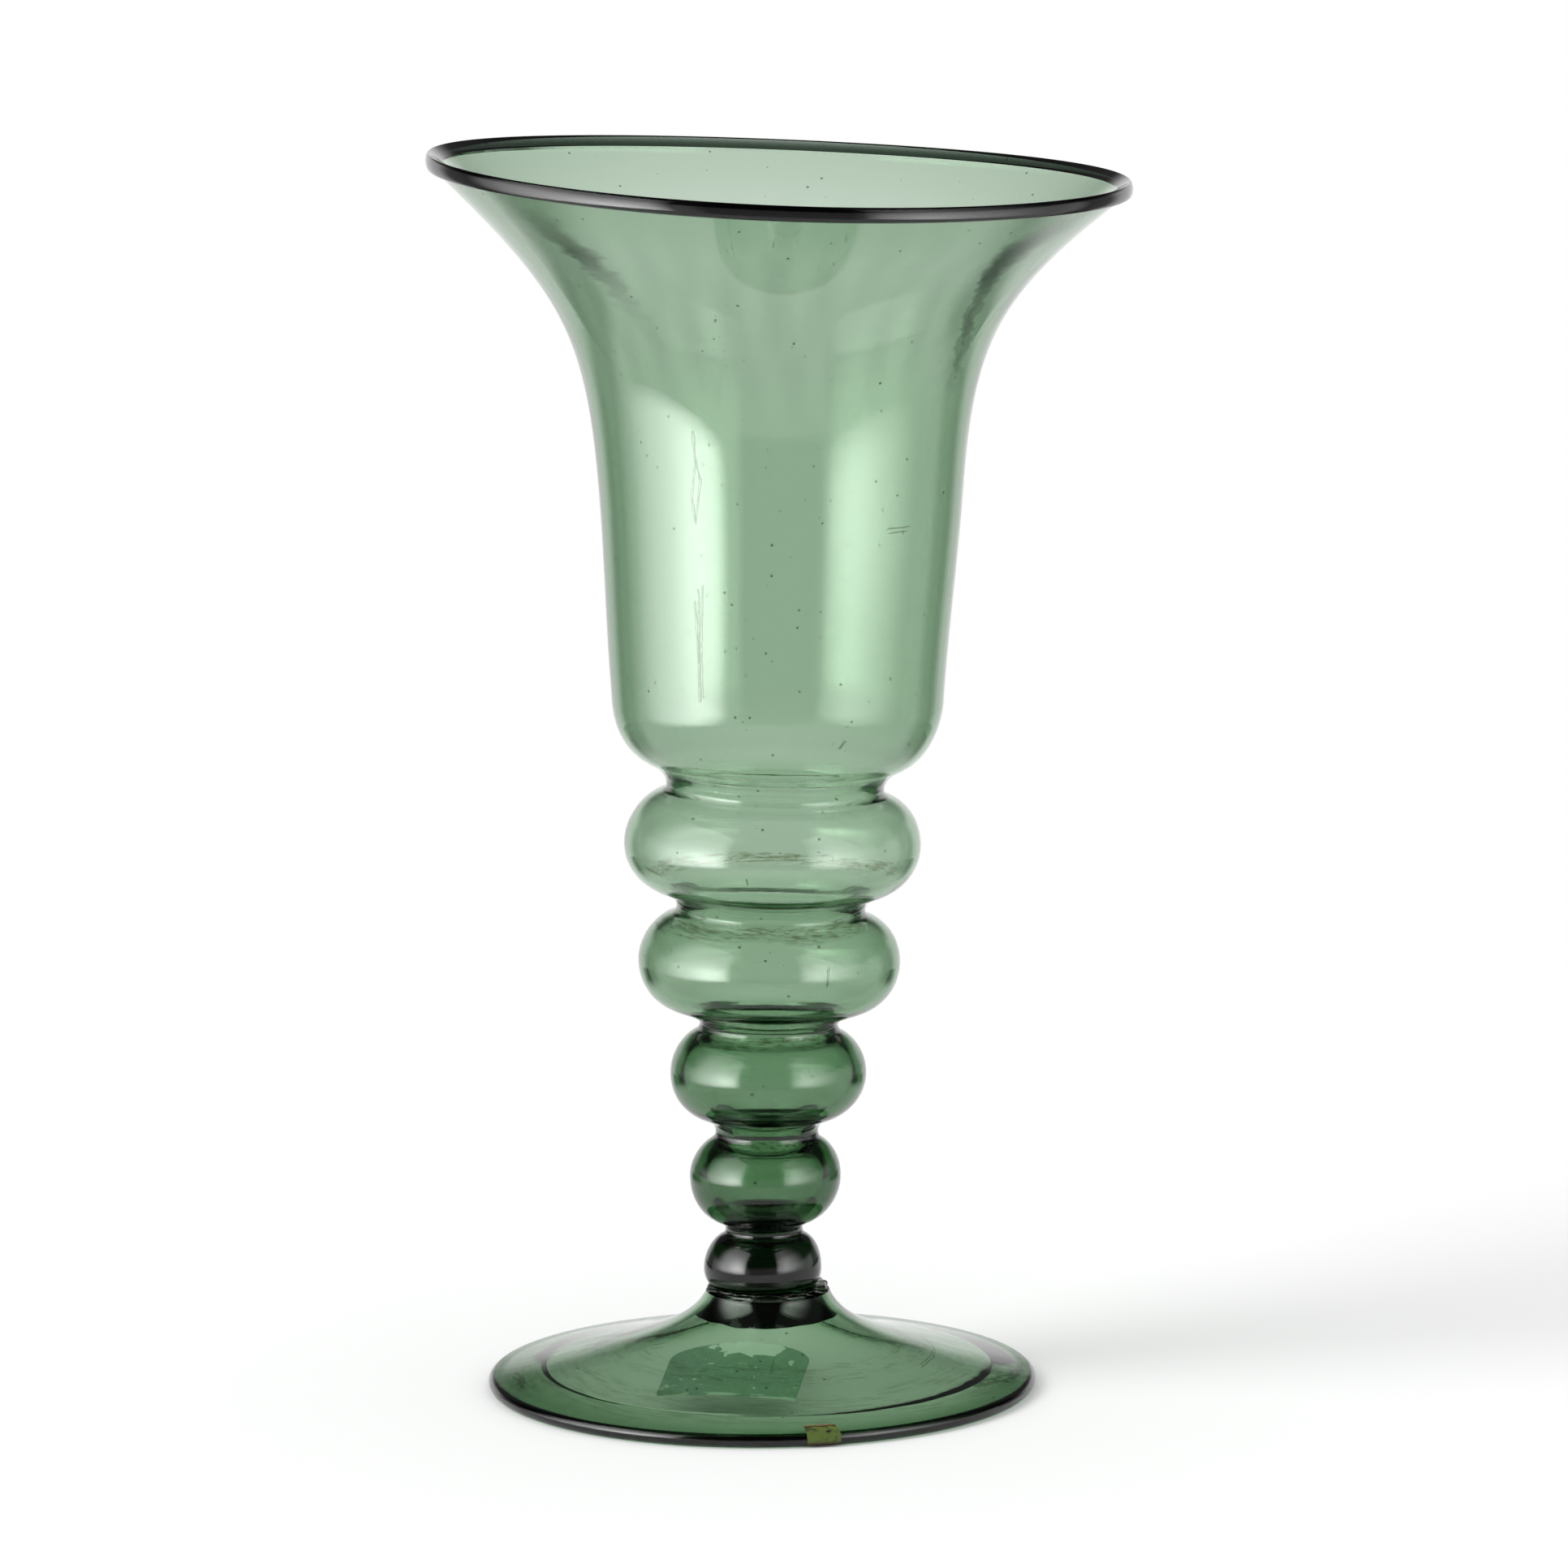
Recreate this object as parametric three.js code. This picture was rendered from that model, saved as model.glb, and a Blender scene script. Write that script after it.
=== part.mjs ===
// Blown glass vase: a trumpet bowl on five knops, blown as one bubble, on a domed foot with a folded hem.
// Millimetres and degrees. z is the height above the table, and x = 0 is under the middle of the lip.
import * as THREE from 'three';

// Shared by every turned piece
const SIDES = 36;          // flats round each turned piece
const SEAM = 0.3;          // gap at a join that is fused on the real vase
const PAPER_GAP = 0.3;     // gap between a label and the glass that it is stuck on

// Domed foot, blown and opened, with its edge folded under
const FOOT_RADIUS = 67.5;        // outside of the bead at its edge
const FOOT_BEAD = 1.75;          // radius of that bead's section
const FOOT_WALL = 2.0;           // glass of the dome
const FOOT_NECK_RADIUS = 15.2;   // outside, at the top
const FOOT_NECK_HEIGHT = 24.0;   // top of the dome above the table
const DOME_EDGE_INSET = 2.9;     // from the foot's outside to the dome's edge
const DOME_EDGE_HEIGHT = 3.45;   // top of the dome's edge above the table
const NECK_SLOPE = 67;           // dome's fall at its neck
const NECK_REACH = 10;           // how far that fall holds
const EDGE_SLOPE = 12.3;         // dome's fall at its edge
const EDGE_REACH = 31;           // how far that fall holds
const HEM_WIDTH = 13.0;          // folded layer, in from the foot's outside
const HEM_REST = 2.6;            // flat ring under the bead, on which the vase stands

// Wad of glass that joins the foot to the lowest knop
const WAD_COLLAR_RADIUS = 15.0;
const WAD_COLLAR_HEIGHT = 1.4;
const WAD_DEPTH = 6.4;           // how far it fills the foot's neck
const WAD_BULGE = 1.2;           // sag of its underside

// Bubble: knops from the lowest, which is solid, to the highest, then the bowl
const SEAT_RADIUS = 12.5;        // flat under the lowest knop
const HOLLOW_FLOOR = 3.0;        // bottom of the hollow above the groove over the lowest knop
const LEAST_ROLL = 2.5;          // tightest rounding of a hollow
// height: between grooves. belly: widest line above the groove below. radius: outside.
// roll: how far in the rounding reaches. shoulder, underside: its heights above and below the belly.
// neck: outside radius of the groove above. wall: glass at the belly. throat: glass at that groove.
// floor: glass at the underside, where it isn't the wall's.
// offset: how far the middle stands from the lip's, towards +x.
// tilt, neckTilt: how far the belly and the groove above lean down towards +x.
const KNOPS = [
  {
    height: 13.7, belly: 3.9, radius: 14.5, roll: 6.2, shoulder: 8.9, underside: 3.9,
    neck: 9.5, offset: -5.8, tilt: 0, neckTilt: 0,
  },
  {
    height: 24.6, belly: 13.4, radius: 18.6, roll: 10.4, shoulder: 10.8, underside: 11.9,
    neck: 12.6, wall: 4.3, throat: 4.3, offset: -5.0, tilt: 0, neckTilt: 0.2,
  },
  {
    height: 27.0, belly: 14.5, radius: 24.1, roll: 11.1, shoulder: 11.7, underside: 11.4,
    neck: 17.0, wall: 3.3, throat: 3.6, offset: -4.1, tilt: 0.3, neckTilt: 1.2,
  },
  {
    height: 28.7, belly: 15.5, radius: 32.1, roll: 10.9, shoulder: 11.9, underside: 12.0,
    neck: 23.1, wall: 2.1, throat: 2.9, offset: -3.7, tilt: 0.8, neckTilt: 1.8,
  },
  {
    height: 30.2, belly: 15.8, radius: 36.3, roll: 12.4, shoulder: 13.2, underside: 12.2,
    neck: 26.6, wall: 1.6, throat: 2.4, offset: -2.7, tilt: 1.0, neckTilt: 2.3,
  },
];
const BOWL = {
  belly: 23.1, radius: 40.6, roll: 12.5, underside: 18.3, wall: 2.1, floor: 1.3, offset: -1.2, tilt: 0.7,
};
const BOWL_SIDE = 50;            // height of the bowl's straight side
const FLARE_RADIUS = 44.3;       // outside, where the bowl starts to flare
const FLARE_REACH = 37;          // how far the flare keeps the side's line
const FLARE_OFFSET = -0.1;
const FLARE_TILT = 0.5;
const FLARE_WALL = 1.6;          // its thinnest glass
const FLARE_THINNEST = 0.8;      // where that is, as a share of the way up to the lip
const LIP_RADIUS = 85.4;         // outside of the lip's roll
const LIP_RISE = 77.8;           // top of the lip above the bowl's straight side
const LIP_HEIGHT = 3.7;          // height of the roll's rounded face
const LIP_BULGE = 0.8;           // how far that face swells outwards
const LIP_LAP = 3.4;             // from the face's top back down the slope to the wall's end
const LIP_WALL = 2.0;            // glass of the flare where it meets the roll
const LIP_SLOPE = 41.0;          // rise of the flare there
const LIP_REACH = 40;            // how far that rise holds
const LIP_TILT = 2.7;            // whole tilt of the lip, down towards +x
const LIP_WARP = 0.65;           // its left and right rise, its front and back drop
const ARC_END = 72;              // where a knop's rounding runs out into its groove
const GROOVE_EASE = 1.0;         // least reach of that rounding's end outside the groove's neck

// Foot's own middle, and the middle of its neck
const FOOT_OFFSET = -6.1;
const FOOT_NECK_OFFSET = -4.6;

// Paper label under the dome, and the small one wrapped over the foot's edge
const LABEL_LENGTH = 20;         // along the dome, seen from above
const LABEL_WIDTH = 34;
const LABEL_INSET = 21.5;        // from the foot's outside to the label
const LABEL_TURN = -13;          // round from the front, towards +x
const LABEL_CORNER = 5;          // its two upper corners
const PAPER = 0.3;               // thickness
const STICKER_WIDTH = 8.3;
const STICKER_TURN = 12.8;
const STICKER_TOP = 5.5;         // from the foot's outside to the sticker's upper end
const STICKER_FOOT = 0.9;        // its lower end above the table

// Heights that follow from the sizes above
const SEAT = FOOT_NECK_HEIGHT + SEAM + WAD_COLLAR_HEIGHT;
const BOWL_BASE = KNOPS.reduce((height, knop) => height + knop.height, SEAT);
const FLARE_BASE = BOWL_BASE + BOWL.belly + BOWL_SIDE;
const LIP_TOP = FLARE_BASE + LIP_RISE;
const LIP_MIDDLE = LIP_TOP - LIP_HEIGHT / 2;

const { degToRad, radToDeg, lerp, clamp, smoothstep } = THREE.MathUtils;
const point = (r, z) => new THREE.Vector2(r, z);
const heading = (degrees) => point(Math.cos(degToRad(degrees)), Math.sin(degToRad(degrees)));

// Points on part of an ellipse, from one angle to the other
function roundOff(middle, across, up, from, to, steps) {
  const curve = new THREE.EllipseCurve(
    middle.x, middle.y, across, up, degToRad(from), degToRad(to), from > to,
  );
  return curve.getPoints(steps);
}

// Points on the groove between two roundings, whose lines it keeps, upright at its neck
function groove(low, lowHeading, neck, high, highHeading) {
  const meet = (end, way) => end.clone().addScaledVector(way, (neck.x - end.x) / way.x);
  const into = new THREE.QuadraticBezierCurve(low, meet(low, lowHeading), neck);
  const out = new THREE.QuadraticBezierCurve(neck, meet(high, highHeading), high);
  return [...into.getPoints(2).slice(1), ...out.getPoints(2).slice(1, -1)];
}

// Direction of an ellipse at an angle, counter-clockwise
function along(across, up, degrees) {
  const a = degToRad(degrees);
  return point(-across * Math.sin(a), up * Math.cos(a)).normalize();
}

// Rounded face of the lip's roll, from under it over to where it runs into the flare's inside
function lipFace() {
  const half = LIP_HEIGHT / 2;
  const over = 90 + radToDeg(Math.atan((Math.tan(degToRad(LIP_SLOPE)) * LIP_BULGE) / half));
  return roundOff(point(LIP_RADIUS - LIP_BULGE, LIP_TOP - half), LIP_BULGE, half, -90, over, 8);
}

// Where the flare's inside ends under the roll
const lipStart = lipFace().at(-1).clone().addScaledVector(heading(LIP_SLOPE), -LIP_LAP);

// Glass of the flare at a share of its way up, which thins and then thickens into the roll
function flareWall(share) {
  return share < FLARE_THINNEST
    ? lerp(BOWL.wall, FLARE_WALL, smoothstep(share, 0, FLARE_THINNEST))
    : lerp(FLARE_WALL, LIP_WALL, smoothstep(share, FLARE_THINNEST, 1));
}

// Half outline of the bubble from the lowest knop up to the lip, outside or on the hollow's wall
function bubbleOutline(hollow) {
  const points = [];
  const steps = hollow ? 3 : 4;
  const pieces = hollow ? [...KNOPS.slice(1), BOWL] : [...KNOPS, BOWL];
  let below = null;
  let base = hollow ? SEAT + KNOPS[0].height : SEAT;
  const runOut = (middle, roll, neck) => {
    const angle = Math.acos(clamp((neck + GROOVE_EASE - middle.x) / roll, -1, 1));
    return Math.min(radToDeg(angle), ARC_END);
  };
  for (const piece of pieces) {
    const shrink = hollow ? piece.wall : 0;
    const radius = piece.radius - shrink;
    const roll = Math.max(piece.roll - shrink, hollow ? LEAST_ROLL : 0);
    const middle = point(radius - roll, base + piece.belly);
    if (piece === pieces[0]) {
      // The lowest knop is flat where it sits, and the hollow above it closes in a bowl
      const flat = hollow ? 0 : SEAT_RADIUS;
      const drop = hollow ? piece.belly - HOLLOW_FLOOR : piece.underside;
      if (!hollow) points.push(point(0, SEAT));
      points.push(...roundOff(point(flat, middle.y), radius - flat, drop, -90, 0, steps));
    } else {
      const drop = piece.underside - (hollow ? piece.floor ?? piece.wall : 0);
      const start = -runOut(middle, roll, below.neck.x);
      const arc = roundOff(middle, roll, drop, start, 0, steps);
      points.push(...groove(below.end, below.heading, below.neck, arc[0], along(roll, drop, start)));
      points.push(...arc);
    }
    if (piece === BOWL) break;
    base += piece.height;
    const neck = point(piece.neck - (hollow ? piece.throat : 0), base);
    const rise = piece.shoulder - shrink;
    const stop = runOut(middle, roll, neck.x);
    const arc = roundOff(middle, roll, rise, 0, stop, steps);
    points.push(...arc.slice(1));
    below = { end: arc[steps], heading: along(roll, rise, stop), neck };
  }

  // Straight side, then the flare, which ends square to the wall just under the roll
  const corner = points[points.length - 1].clone();
  if (hollow) corner.x += BOWL.wall;
  const flare = point(FLARE_RADIUS, FLARE_BASE);
  const side = flare.clone().sub(corner).normalize();
  const slope = heading(LIP_SLOPE);
  const end = lipStart.clone()
    .addScaledVector(slope, -SEAM)
    .addScaledVector(heading(LIP_SLOPE - 90), LIP_WALL);
  const curve = new THREE.CubicBezierCurve(
    flare,
    flare.clone().addScaledVector(side, FLARE_REACH),
    end.clone().addScaledVector(slope, -LIP_REACH),
    end,
  );
  for (let i = 0; i <= 8; i += 1) {
    const way = curve.getTangent(i / 8);
    const wall = hollow ? flareWall(i / 8) : 0;
    points.push(curve.getPoint(i / 8).addScaledVector(point(-way.y, way.x), wall));
  }
  return points;
}

// Roll of the lip, flat where it meets the wall
function lipSection() {
  return [
    lipStart,
    lipStart.clone().addScaledVector(heading(LIP_SLOPE - 90), LIP_WALL),
    ...lipFace(),
  ];
}

// Dome of the foot, outside, from its edge up to its neck
function domeCurve() {
  const edge = point(FOOT_RADIUS - DOME_EDGE_INSET, DOME_EDGE_HEIGHT);
  const neck = point(FOOT_NECK_RADIUS, FOOT_NECK_HEIGHT);
  return new THREE.CubicBezierCurve(
    edge,
    edge.clone().addScaledVector(heading(180 - EDGE_SLOPE), EDGE_REACH),
    neck.clone().addScaledVector(heading(-NECK_SLOPE), NECK_REACH),
    neck,
  );
}

// Points of the dome, sunk square to its outside by a depth
function domePoints(depth, steps) {
  const curve = domeCurve();
  return Array.from({ length: steps + 1 }, (_, i) => {
    const way = curve.getTangent(i / steps);
    return curve.getPoint(i / steps).addScaledVector(point(-way.y, way.x), depth);
  });
}

// Height of the dome's inside at a radius
function domeInside(radius) {
  const points = domePoints(FOOT_WALL, 60);
  const i = points.findIndex((p) => p.x <= radius);
  const [far, near] = [points.at(i - 1), points.at(i)];
  return lerp(far.y, near.y, (far.x - radius) / (far.x - near.x));
}

// Radius of the dome's inside at a height, carried on past its end
function domeInsideRadius(height) {
  const points = domePoints(FOOT_WALL, 60);
  const i = points.findIndex((p) => p.y >= height);
  const [low, high] = [points.at(i - 1), points.at(i)];
  return low.x + ((high.x - low.x) * (height - low.y)) / (high.y - low.y);
}

function domeSection() {
  const outside = domePoints(0, 12);
  const inside = domePoints(FOOT_WALL, 10).filter((p) => p.y < FOOT_NECK_HEIGHT);
  const mouth = point(domeInsideRadius(FOOT_NECK_HEIGHT), FOOT_NECK_HEIGHT);
  return [...outside, mouth, ...inside.reverse()];
}

// Hem: the bead at the foot's edge, and the layer folded under the dome, as steep as the dome's edge
function hemSection() {
  const bead = point(FOOT_RADIUS - FOOT_BEAD, FOOT_BEAD);
  const edge = domePoints(FOOT_WALL, 12)[0];
  const inner = FOOT_RADIUS - HEM_WIDTH;
  const rest = bead.x - HEM_REST;
  const stop = FOOT_RADIUS - DOME_EDGE_INSET + SEAM;
  const meeting = radToDeg(Math.acos((stop - bead.x) / FOOT_BEAD));
  return [
    point(inner, (rest - inner) * Math.tan(degToRad(EDGE_SLOPE))),
    point(rest, 0),
    ...roundOff(bead, FOOT_BEAD, FOOT_BEAD, -90, meeting, 9),
    point(edge.x + SEAM, edge.y - SEAM),
    point(inner, domeInside(inner) - SEAM),
  ];
}

// Wad: a collar pressed out between knop and foot, over a plug in the foot's neck
function wadSection() {
  const under = FOOT_NECK_HEIGHT + SEAM;
  const bottom = FOOT_NECK_HEIGHT - WAD_DEPTH;
  const plug = (height) => point(domeInsideRadius(height) - SEAM, height);
  return [
    point(0, bottom - WAD_BULGE),
    point(plug(bottom).x * 0.6, bottom - WAD_BULGE * 0.7),
    plug(bottom),
    plug(lerp(bottom, FOOT_NECK_HEIGHT, 0.35)),
    plug(lerp(bottom, FOOT_NECK_HEIGHT, 0.7)),
    plug(FOOT_NECK_HEIGHT),
    point(plug(FOOT_NECK_HEIGHT).x, under),
    point(WAD_COLLAR_RADIUS - WAD_COLLAR_HEIGHT / 3, under),
    point(WAD_COLLAR_RADIUS, lerp(under, SEAT, 0.35)),
    point(WAD_COLLAR_RADIUS, lerp(under, SEAT, 0.65)),
    point(WAD_COLLAR_RADIUS - WAD_COLLAR_HEIGHT / 3, SEAT),
    point(0, SEAT),
  ];
}

// Where each height of the bubble stands and how it leans, eased from one knop or groove to the next
const STATIONS = [];
let stationBase = SEAT;
for (const [i, piece] of [...KNOPS, BOWL].entries()) {
  STATIONS.push({ z: stationBase + piece.belly, offset: piece.offset, tilt: piece.tilt });
  if (piece === BOWL) break;
  stationBase += piece.height;
  const offset = (piece.offset + (KNOPS[i + 1] ?? BOWL).offset) / 2;
  STATIONS.push({ z: stationBase, offset, tilt: piece.neckTilt });
}
STATIONS.push({ z: FLARE_BASE, offset: FLARE_OFFSET, tilt: FLARE_TILT });
STATIONS.push({ z: LIP_MIDDLE, offset: 0, tilt: FLARE_TILT });

function settleBubble(p) {
  let i = STATIONS.findIndex((s) => s.z > p.z);
  if (i < 0) i = STATIONS.length - 1;
  const low = STATIONS[Math.max(i - 1, 0)];
  const high = STATIONS[i];
  const ease = smoothstep(p.z, low.z, high.z);
  const flare = clamp((p.z - FLARE_BASE) / (LIP_MIDDLE - FLARE_BASE), 0, 1) ** 2;
  const tilt = lerp(low.tilt, high.tilt, ease) + (LIP_TILT - FLARE_TILT) * flare;
  const round = Math.hypot(p.x, p.y) || 1;
  const saddle = (p.x ** 2 - p.y ** 2) / round ** 2;
  p.z += LIP_WARP * flare * saddle - p.x * Math.tan(degToRad(tilt));
  p.x += lerp(low.offset, high.offset, ease);
}

function settleFoot(p) {
  p.x += lerp(FOOT_OFFSET, FOOT_NECK_OFFSET, smoothstep(p.z, DOME_EDGE_HEIGHT, FOOT_NECK_HEIGHT));
}

function settle(geometry, move) {
  const places = geometry.attributes.position;
  const p = new THREE.Vector3();
  for (let i = 0; i < places.count; i += 1) {
    move(p.fromBufferAttribute(places, i));
    places.setXYZ(i, p.x, p.y, p.z);
  }
  geometry.computeVertexNormals();
  return geometry;
}

// Turned solid from a half outline that starts and ends on the axis or closes on itself
function turn(section, move) {
  const geometry = new THREE.LatheGeometry(section, SIDES);
  geometry.rotateX(Math.PI / 2);
  return settle(geometry, move);
}

// Closed sheet between two faces, each given as a function of u and v from 0 to 1
function sheet(face, back, columns, rows) {
  const places = [];
  for (const side of [face, back]) {
    for (let row = 0; row <= rows; row += 1) {
      for (let column = 0; column <= columns; column += 1) {
        places.push(...side(column / columns, row / rows).toArray());
      }
    }
  }
  const wide = columns + 1;
  const half = wide * (rows + 1);
  const index = [];
  const quad = (a, b, c, d) => index.push(a, b, c, a, c, d);
  for (let row = 0; row < rows; row += 1) {
    for (let column = 0; column < columns; column += 1) {
      const a = row * wide + column;
      quad(a, a + 1, a + wide + 1, a + wide);
      quad(half + a, half + a + wide, half + a + wide + 1, half + a + 1);
    }
  }
  for (let column = 0; column < columns; column += 1) {
    const last = rows * wide + column;
    quad(column, column + half, column + half + 1, column + 1);
    quad(last, last + 1, last + half + 1, last + half);
  }
  for (let row = 0; row < rows; row += 1) {
    const a = row * wide;
    const last = a + columns;
    quad(a, a + wide, a + wide + half, a + half);
    quad(last, last + half, last + wide + half, last + wide);
  }
  const geometry = new THREE.BufferGeometry();
  geometry.setAttribute('position', new THREE.Float32BufferAttribute(places, 3));
  geometry.setIndex(index);
  return geometry;
}

// Label stuck up under the dome, in towards the foot's middle, with two rounded corners at its near end
function labelGeometry() {
  const turnRound = degToRad(LABEL_TURN);
  const side = (drop) => (u, v) => {
    const far = FOOT_RADIUS - LABEL_INSET - LABEL_LENGTH * v;
    const nearEnd = Math.max(LABEL_CORNER - LABEL_LENGTH * (1 - v), 0);
    const cut = LABEL_CORNER - Math.sqrt(LABEL_CORNER ** 2 - nearEnd ** 2);
    const across = (u - 0.5) * (LABEL_WIDTH - 2 * cut);
    const x = far * Math.sin(turnRound) + across * Math.cos(turnRound);
    const y = -far * Math.cos(turnRound) + across * Math.sin(turnRound);
    return new THREE.Vector3(x, y, domeInside(Math.hypot(x, y)) - drop);
  };
  return settle(sheet(side(PAPER_GAP), side(PAPER_GAP + PAPER), 8, 8), settleFoot);
}

// Sticker that wraps from the top of the hem round the bead to just above the table
function stickerGeometry() {
  const bead = point(FOOT_RADIUS - FOOT_BEAD, FOOT_BEAD);
  const low = radToDeg(Math.asin((STICKER_FOOT - FOOT_BEAD) / FOOT_BEAD));
  const strip = (away) => {
    const top = point(FOOT_RADIUS - STICKER_TOP, DOME_EDGE_HEIGHT).addScaledVector(heading(90), away);
    top.y += (STICKER_TOP - DOME_EDGE_INSET) * Math.tan(degToRad(EDGE_SLOPE));
    const reach = FOOT_BEAD + away;
    return [top, ...roundOff(bead, reach, reach, 90, low, 6)];
  };
  const side = (away) => (u, v) => {
    const p = strip(away)[Math.round(v * 7)];
    const turnRound = degToRad(STICKER_TURN) + ((u - 0.5) * STICKER_WIDTH) / FOOT_RADIUS;
    return new THREE.Vector3(p.x * Math.sin(turnRound), -p.x * Math.cos(turnRound), p.y);
  };
  const bare = sheet(side(PAPER_GAP), side(PAPER_GAP + PAPER), 4, 7);
  return settle(bare, settleFoot);
}

// Materials
const glass = (colour, opacity) => new THREE.MeshStandardMaterial({
  color: colour, roughness: 0.05, metalness: 0, transparent: true, opacity,
});
const paper = (colour) => new THREE.MeshStandardMaterial({
  color: colour, roughness: 0.85, metalness: 0,
});
const BUBBLE_GREEN = '#7fae86';
const LIP_GREEN = '#3c5c44';
const WAD_GREEN = '#1c3020';
const FOOT_GREEN = '#639a6e';
const LABEL_GREY = '#97b0a0';
const STICKER_OLIVE = '#6a7340';

const vase = new THREE.Group();
function add(name, geometry, material) {
  const mesh = new THREE.Mesh(geometry, material);
  mesh.name = name;
  vase.add(mesh);
}

add('bowl_and_knops', turn([
  ...bubbleOutline(false),
  ...bubbleOutline(true).reverse(),
], settleBubble), glass(BUBBLE_GREEN, 0.45));
const lip = lipSection();
add('rolled_lip', turn([...lip, lip[0]], settleBubble), glass(LIP_GREEN, 0.8));
add('joining_wad', turn(wadSection(), settleFoot), glass(WAD_GREEN, 0.95));
const dome = domeSection();
add('domed_foot', turn([...dome, dome[0]], settleFoot), glass(FOOT_GREEN, 0.6));
const hem = hemSection();
add('folded_foot_hem', turn([...hem, hem[0]], settleFoot), glass(FOOT_GREEN, 0.7));
add('label_under_foot', labelGeometry(), paper(LABEL_GREY));
add('sticker_on_foot_edge', stickerGeometry(), paper(STICKER_OLIVE));

export default vase;
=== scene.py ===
import math

import bpy
from mathutils import Matrix, Vector, geometry, noise


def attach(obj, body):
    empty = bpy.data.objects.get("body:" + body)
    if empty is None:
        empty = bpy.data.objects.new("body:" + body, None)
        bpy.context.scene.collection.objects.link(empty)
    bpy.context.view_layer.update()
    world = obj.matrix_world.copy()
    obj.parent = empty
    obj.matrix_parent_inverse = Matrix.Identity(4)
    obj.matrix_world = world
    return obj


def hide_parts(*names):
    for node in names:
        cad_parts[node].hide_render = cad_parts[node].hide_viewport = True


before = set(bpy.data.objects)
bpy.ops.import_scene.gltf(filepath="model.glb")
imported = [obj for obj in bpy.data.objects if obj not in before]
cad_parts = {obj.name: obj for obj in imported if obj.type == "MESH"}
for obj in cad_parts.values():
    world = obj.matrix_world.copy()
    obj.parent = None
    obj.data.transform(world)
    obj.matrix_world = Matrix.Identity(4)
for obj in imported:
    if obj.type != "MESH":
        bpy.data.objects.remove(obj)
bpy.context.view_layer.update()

# Bowl and knops: one bubble of thin green glass. Five knops were necked in with jacks from the bottom up,
# and the bowl above them was opened and flared. The hollow runs from the mouth down into the fourth knop,
# and the lowest knop is solid.
SEAT_HEIGHT = 0.0257
SEAT_RADIUS = 0.0125
HOLLOW_FLOOR = 0.0030
LEAST_ROLL = 0.0025
# height: between grooves. belly: widest line above the groove below. roll: reach of the rounding, whose
# heights are shoulder and underside. neck: outside of the groove above. throat: its glass.
# offset: the middle's place along x. tilt, neck_tilt: lean in degrees, down towards +x.
KNOPS = [
    dict(height=0.0137, belly=0.0039, radius=0.0145, roll=0.0062, shoulder=0.0089, underside=0.0039,
         neck=0.0095, offset=-0.0058, tilt=0, neck_tilt=0),
    dict(height=0.0246, belly=0.0134, radius=0.0186, roll=0.0104, shoulder=0.0108, underside=0.0119,
         neck=0.0126, wall=0.0043, throat=0.0043, offset=-0.0050, tilt=0, neck_tilt=0.2),
    dict(height=0.0270, belly=0.0145, radius=0.0241, roll=0.0111, shoulder=0.0117, underside=0.0114,
         neck=0.0170, wall=0.0033, throat=0.0036, offset=-0.0041, tilt=0.3, neck_tilt=1.2),
    dict(height=0.0287, belly=0.0155, radius=0.0321, roll=0.0109, shoulder=0.0119, underside=0.0120,
         neck=0.0231, wall=0.0021, throat=0.0029, offset=-0.0037, tilt=0.8, neck_tilt=1.8),
    dict(height=0.0302, belly=0.0158, radius=0.0363, roll=0.0124, shoulder=0.0132, underside=0.0122,
         neck=0.0266, wall=0.0016, throat=0.0024, offset=-0.0027, tilt=1.0, neck_tilt=2.3),
]
BOWL = dict(belly=0.0231, radius=0.0406, roll=0.0125, underside=0.0183, wall=0.0021, floor=0.0013,
            offset=-0.0012, tilt=0.7)
BOWL_SIDE = 0.050
FLARE_RADIUS = 0.0443
FLARE_REACH = 0.037
FLARE_OFFSET = -0.0001
FLARE_TILT = 0.5
FLARE_WALL = 0.0016
FLARE_THINNEST = 0.8
LIP_RADIUS = 0.08538
LIP_RISE = 0.0778
LIP_HEIGHT = 0.0037
LIP_BULGE = 0.0008
LIP_LAP = 0.0034
LIP_WALL = 0.0020
LIP_SLOPE = 41.0
LIP_REACH = 0.040
LIP_TILT = 2.7
LIP_WARP = 0.00065
LIP_SEAM = 0.0001
ARC_END = 72
GROOVE_EASE = 0.001
CURVE_PULL = 2 / 3
CAP_STEPS = 8
ARC_STEPS = 9
GROOVE_STEPS = 5
SIDE_STEPS = 10
FLARE_STEPS = 36
EDGE_STEPS = 24
TURNS = 128
SHARP = 42
WELD = 0.000002

BOWL_BASE = SEAT_HEIGHT + sum(knop["height"] for knop in KNOPS)
FLARE_BASE = BOWL_BASE + BOWL["belly"] + BOWL_SIDE
LIP_TOP = FLARE_BASE + LIP_RISE
LIP_MIDDLE = LIP_TOP - LIP_HEIGHT / 2


def heading(degrees):
    """A step of length 1, at an angle above level."""
    return Vector((math.cos(math.radians(degrees)), math.sin(math.radians(degrees))))


def rounding(middle, across, up, start, end, steps):
    """Points on part of an ellipse, from one angle to the other."""
    angles = (math.radians(start + (end - start) * i / steps) for i in range(steps + 1))
    return [middle + Vector((across * math.cos(a), up * math.sin(a))) for a in angles]


def along(across, up, degrees):
    """The way in which an ellipse runs at an angle."""
    a = math.radians(degrees)
    return Vector((-across * math.sin(a), up * math.cos(a))).normalized()


def sweep(start, start_pull, end_pull, end, steps):
    """Points on a smooth curve that leaves and arrives by its pulls."""
    return geometry.interpolate_bezier(start, start + start_pull, end + end_pull, end, steps + 1)


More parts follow.
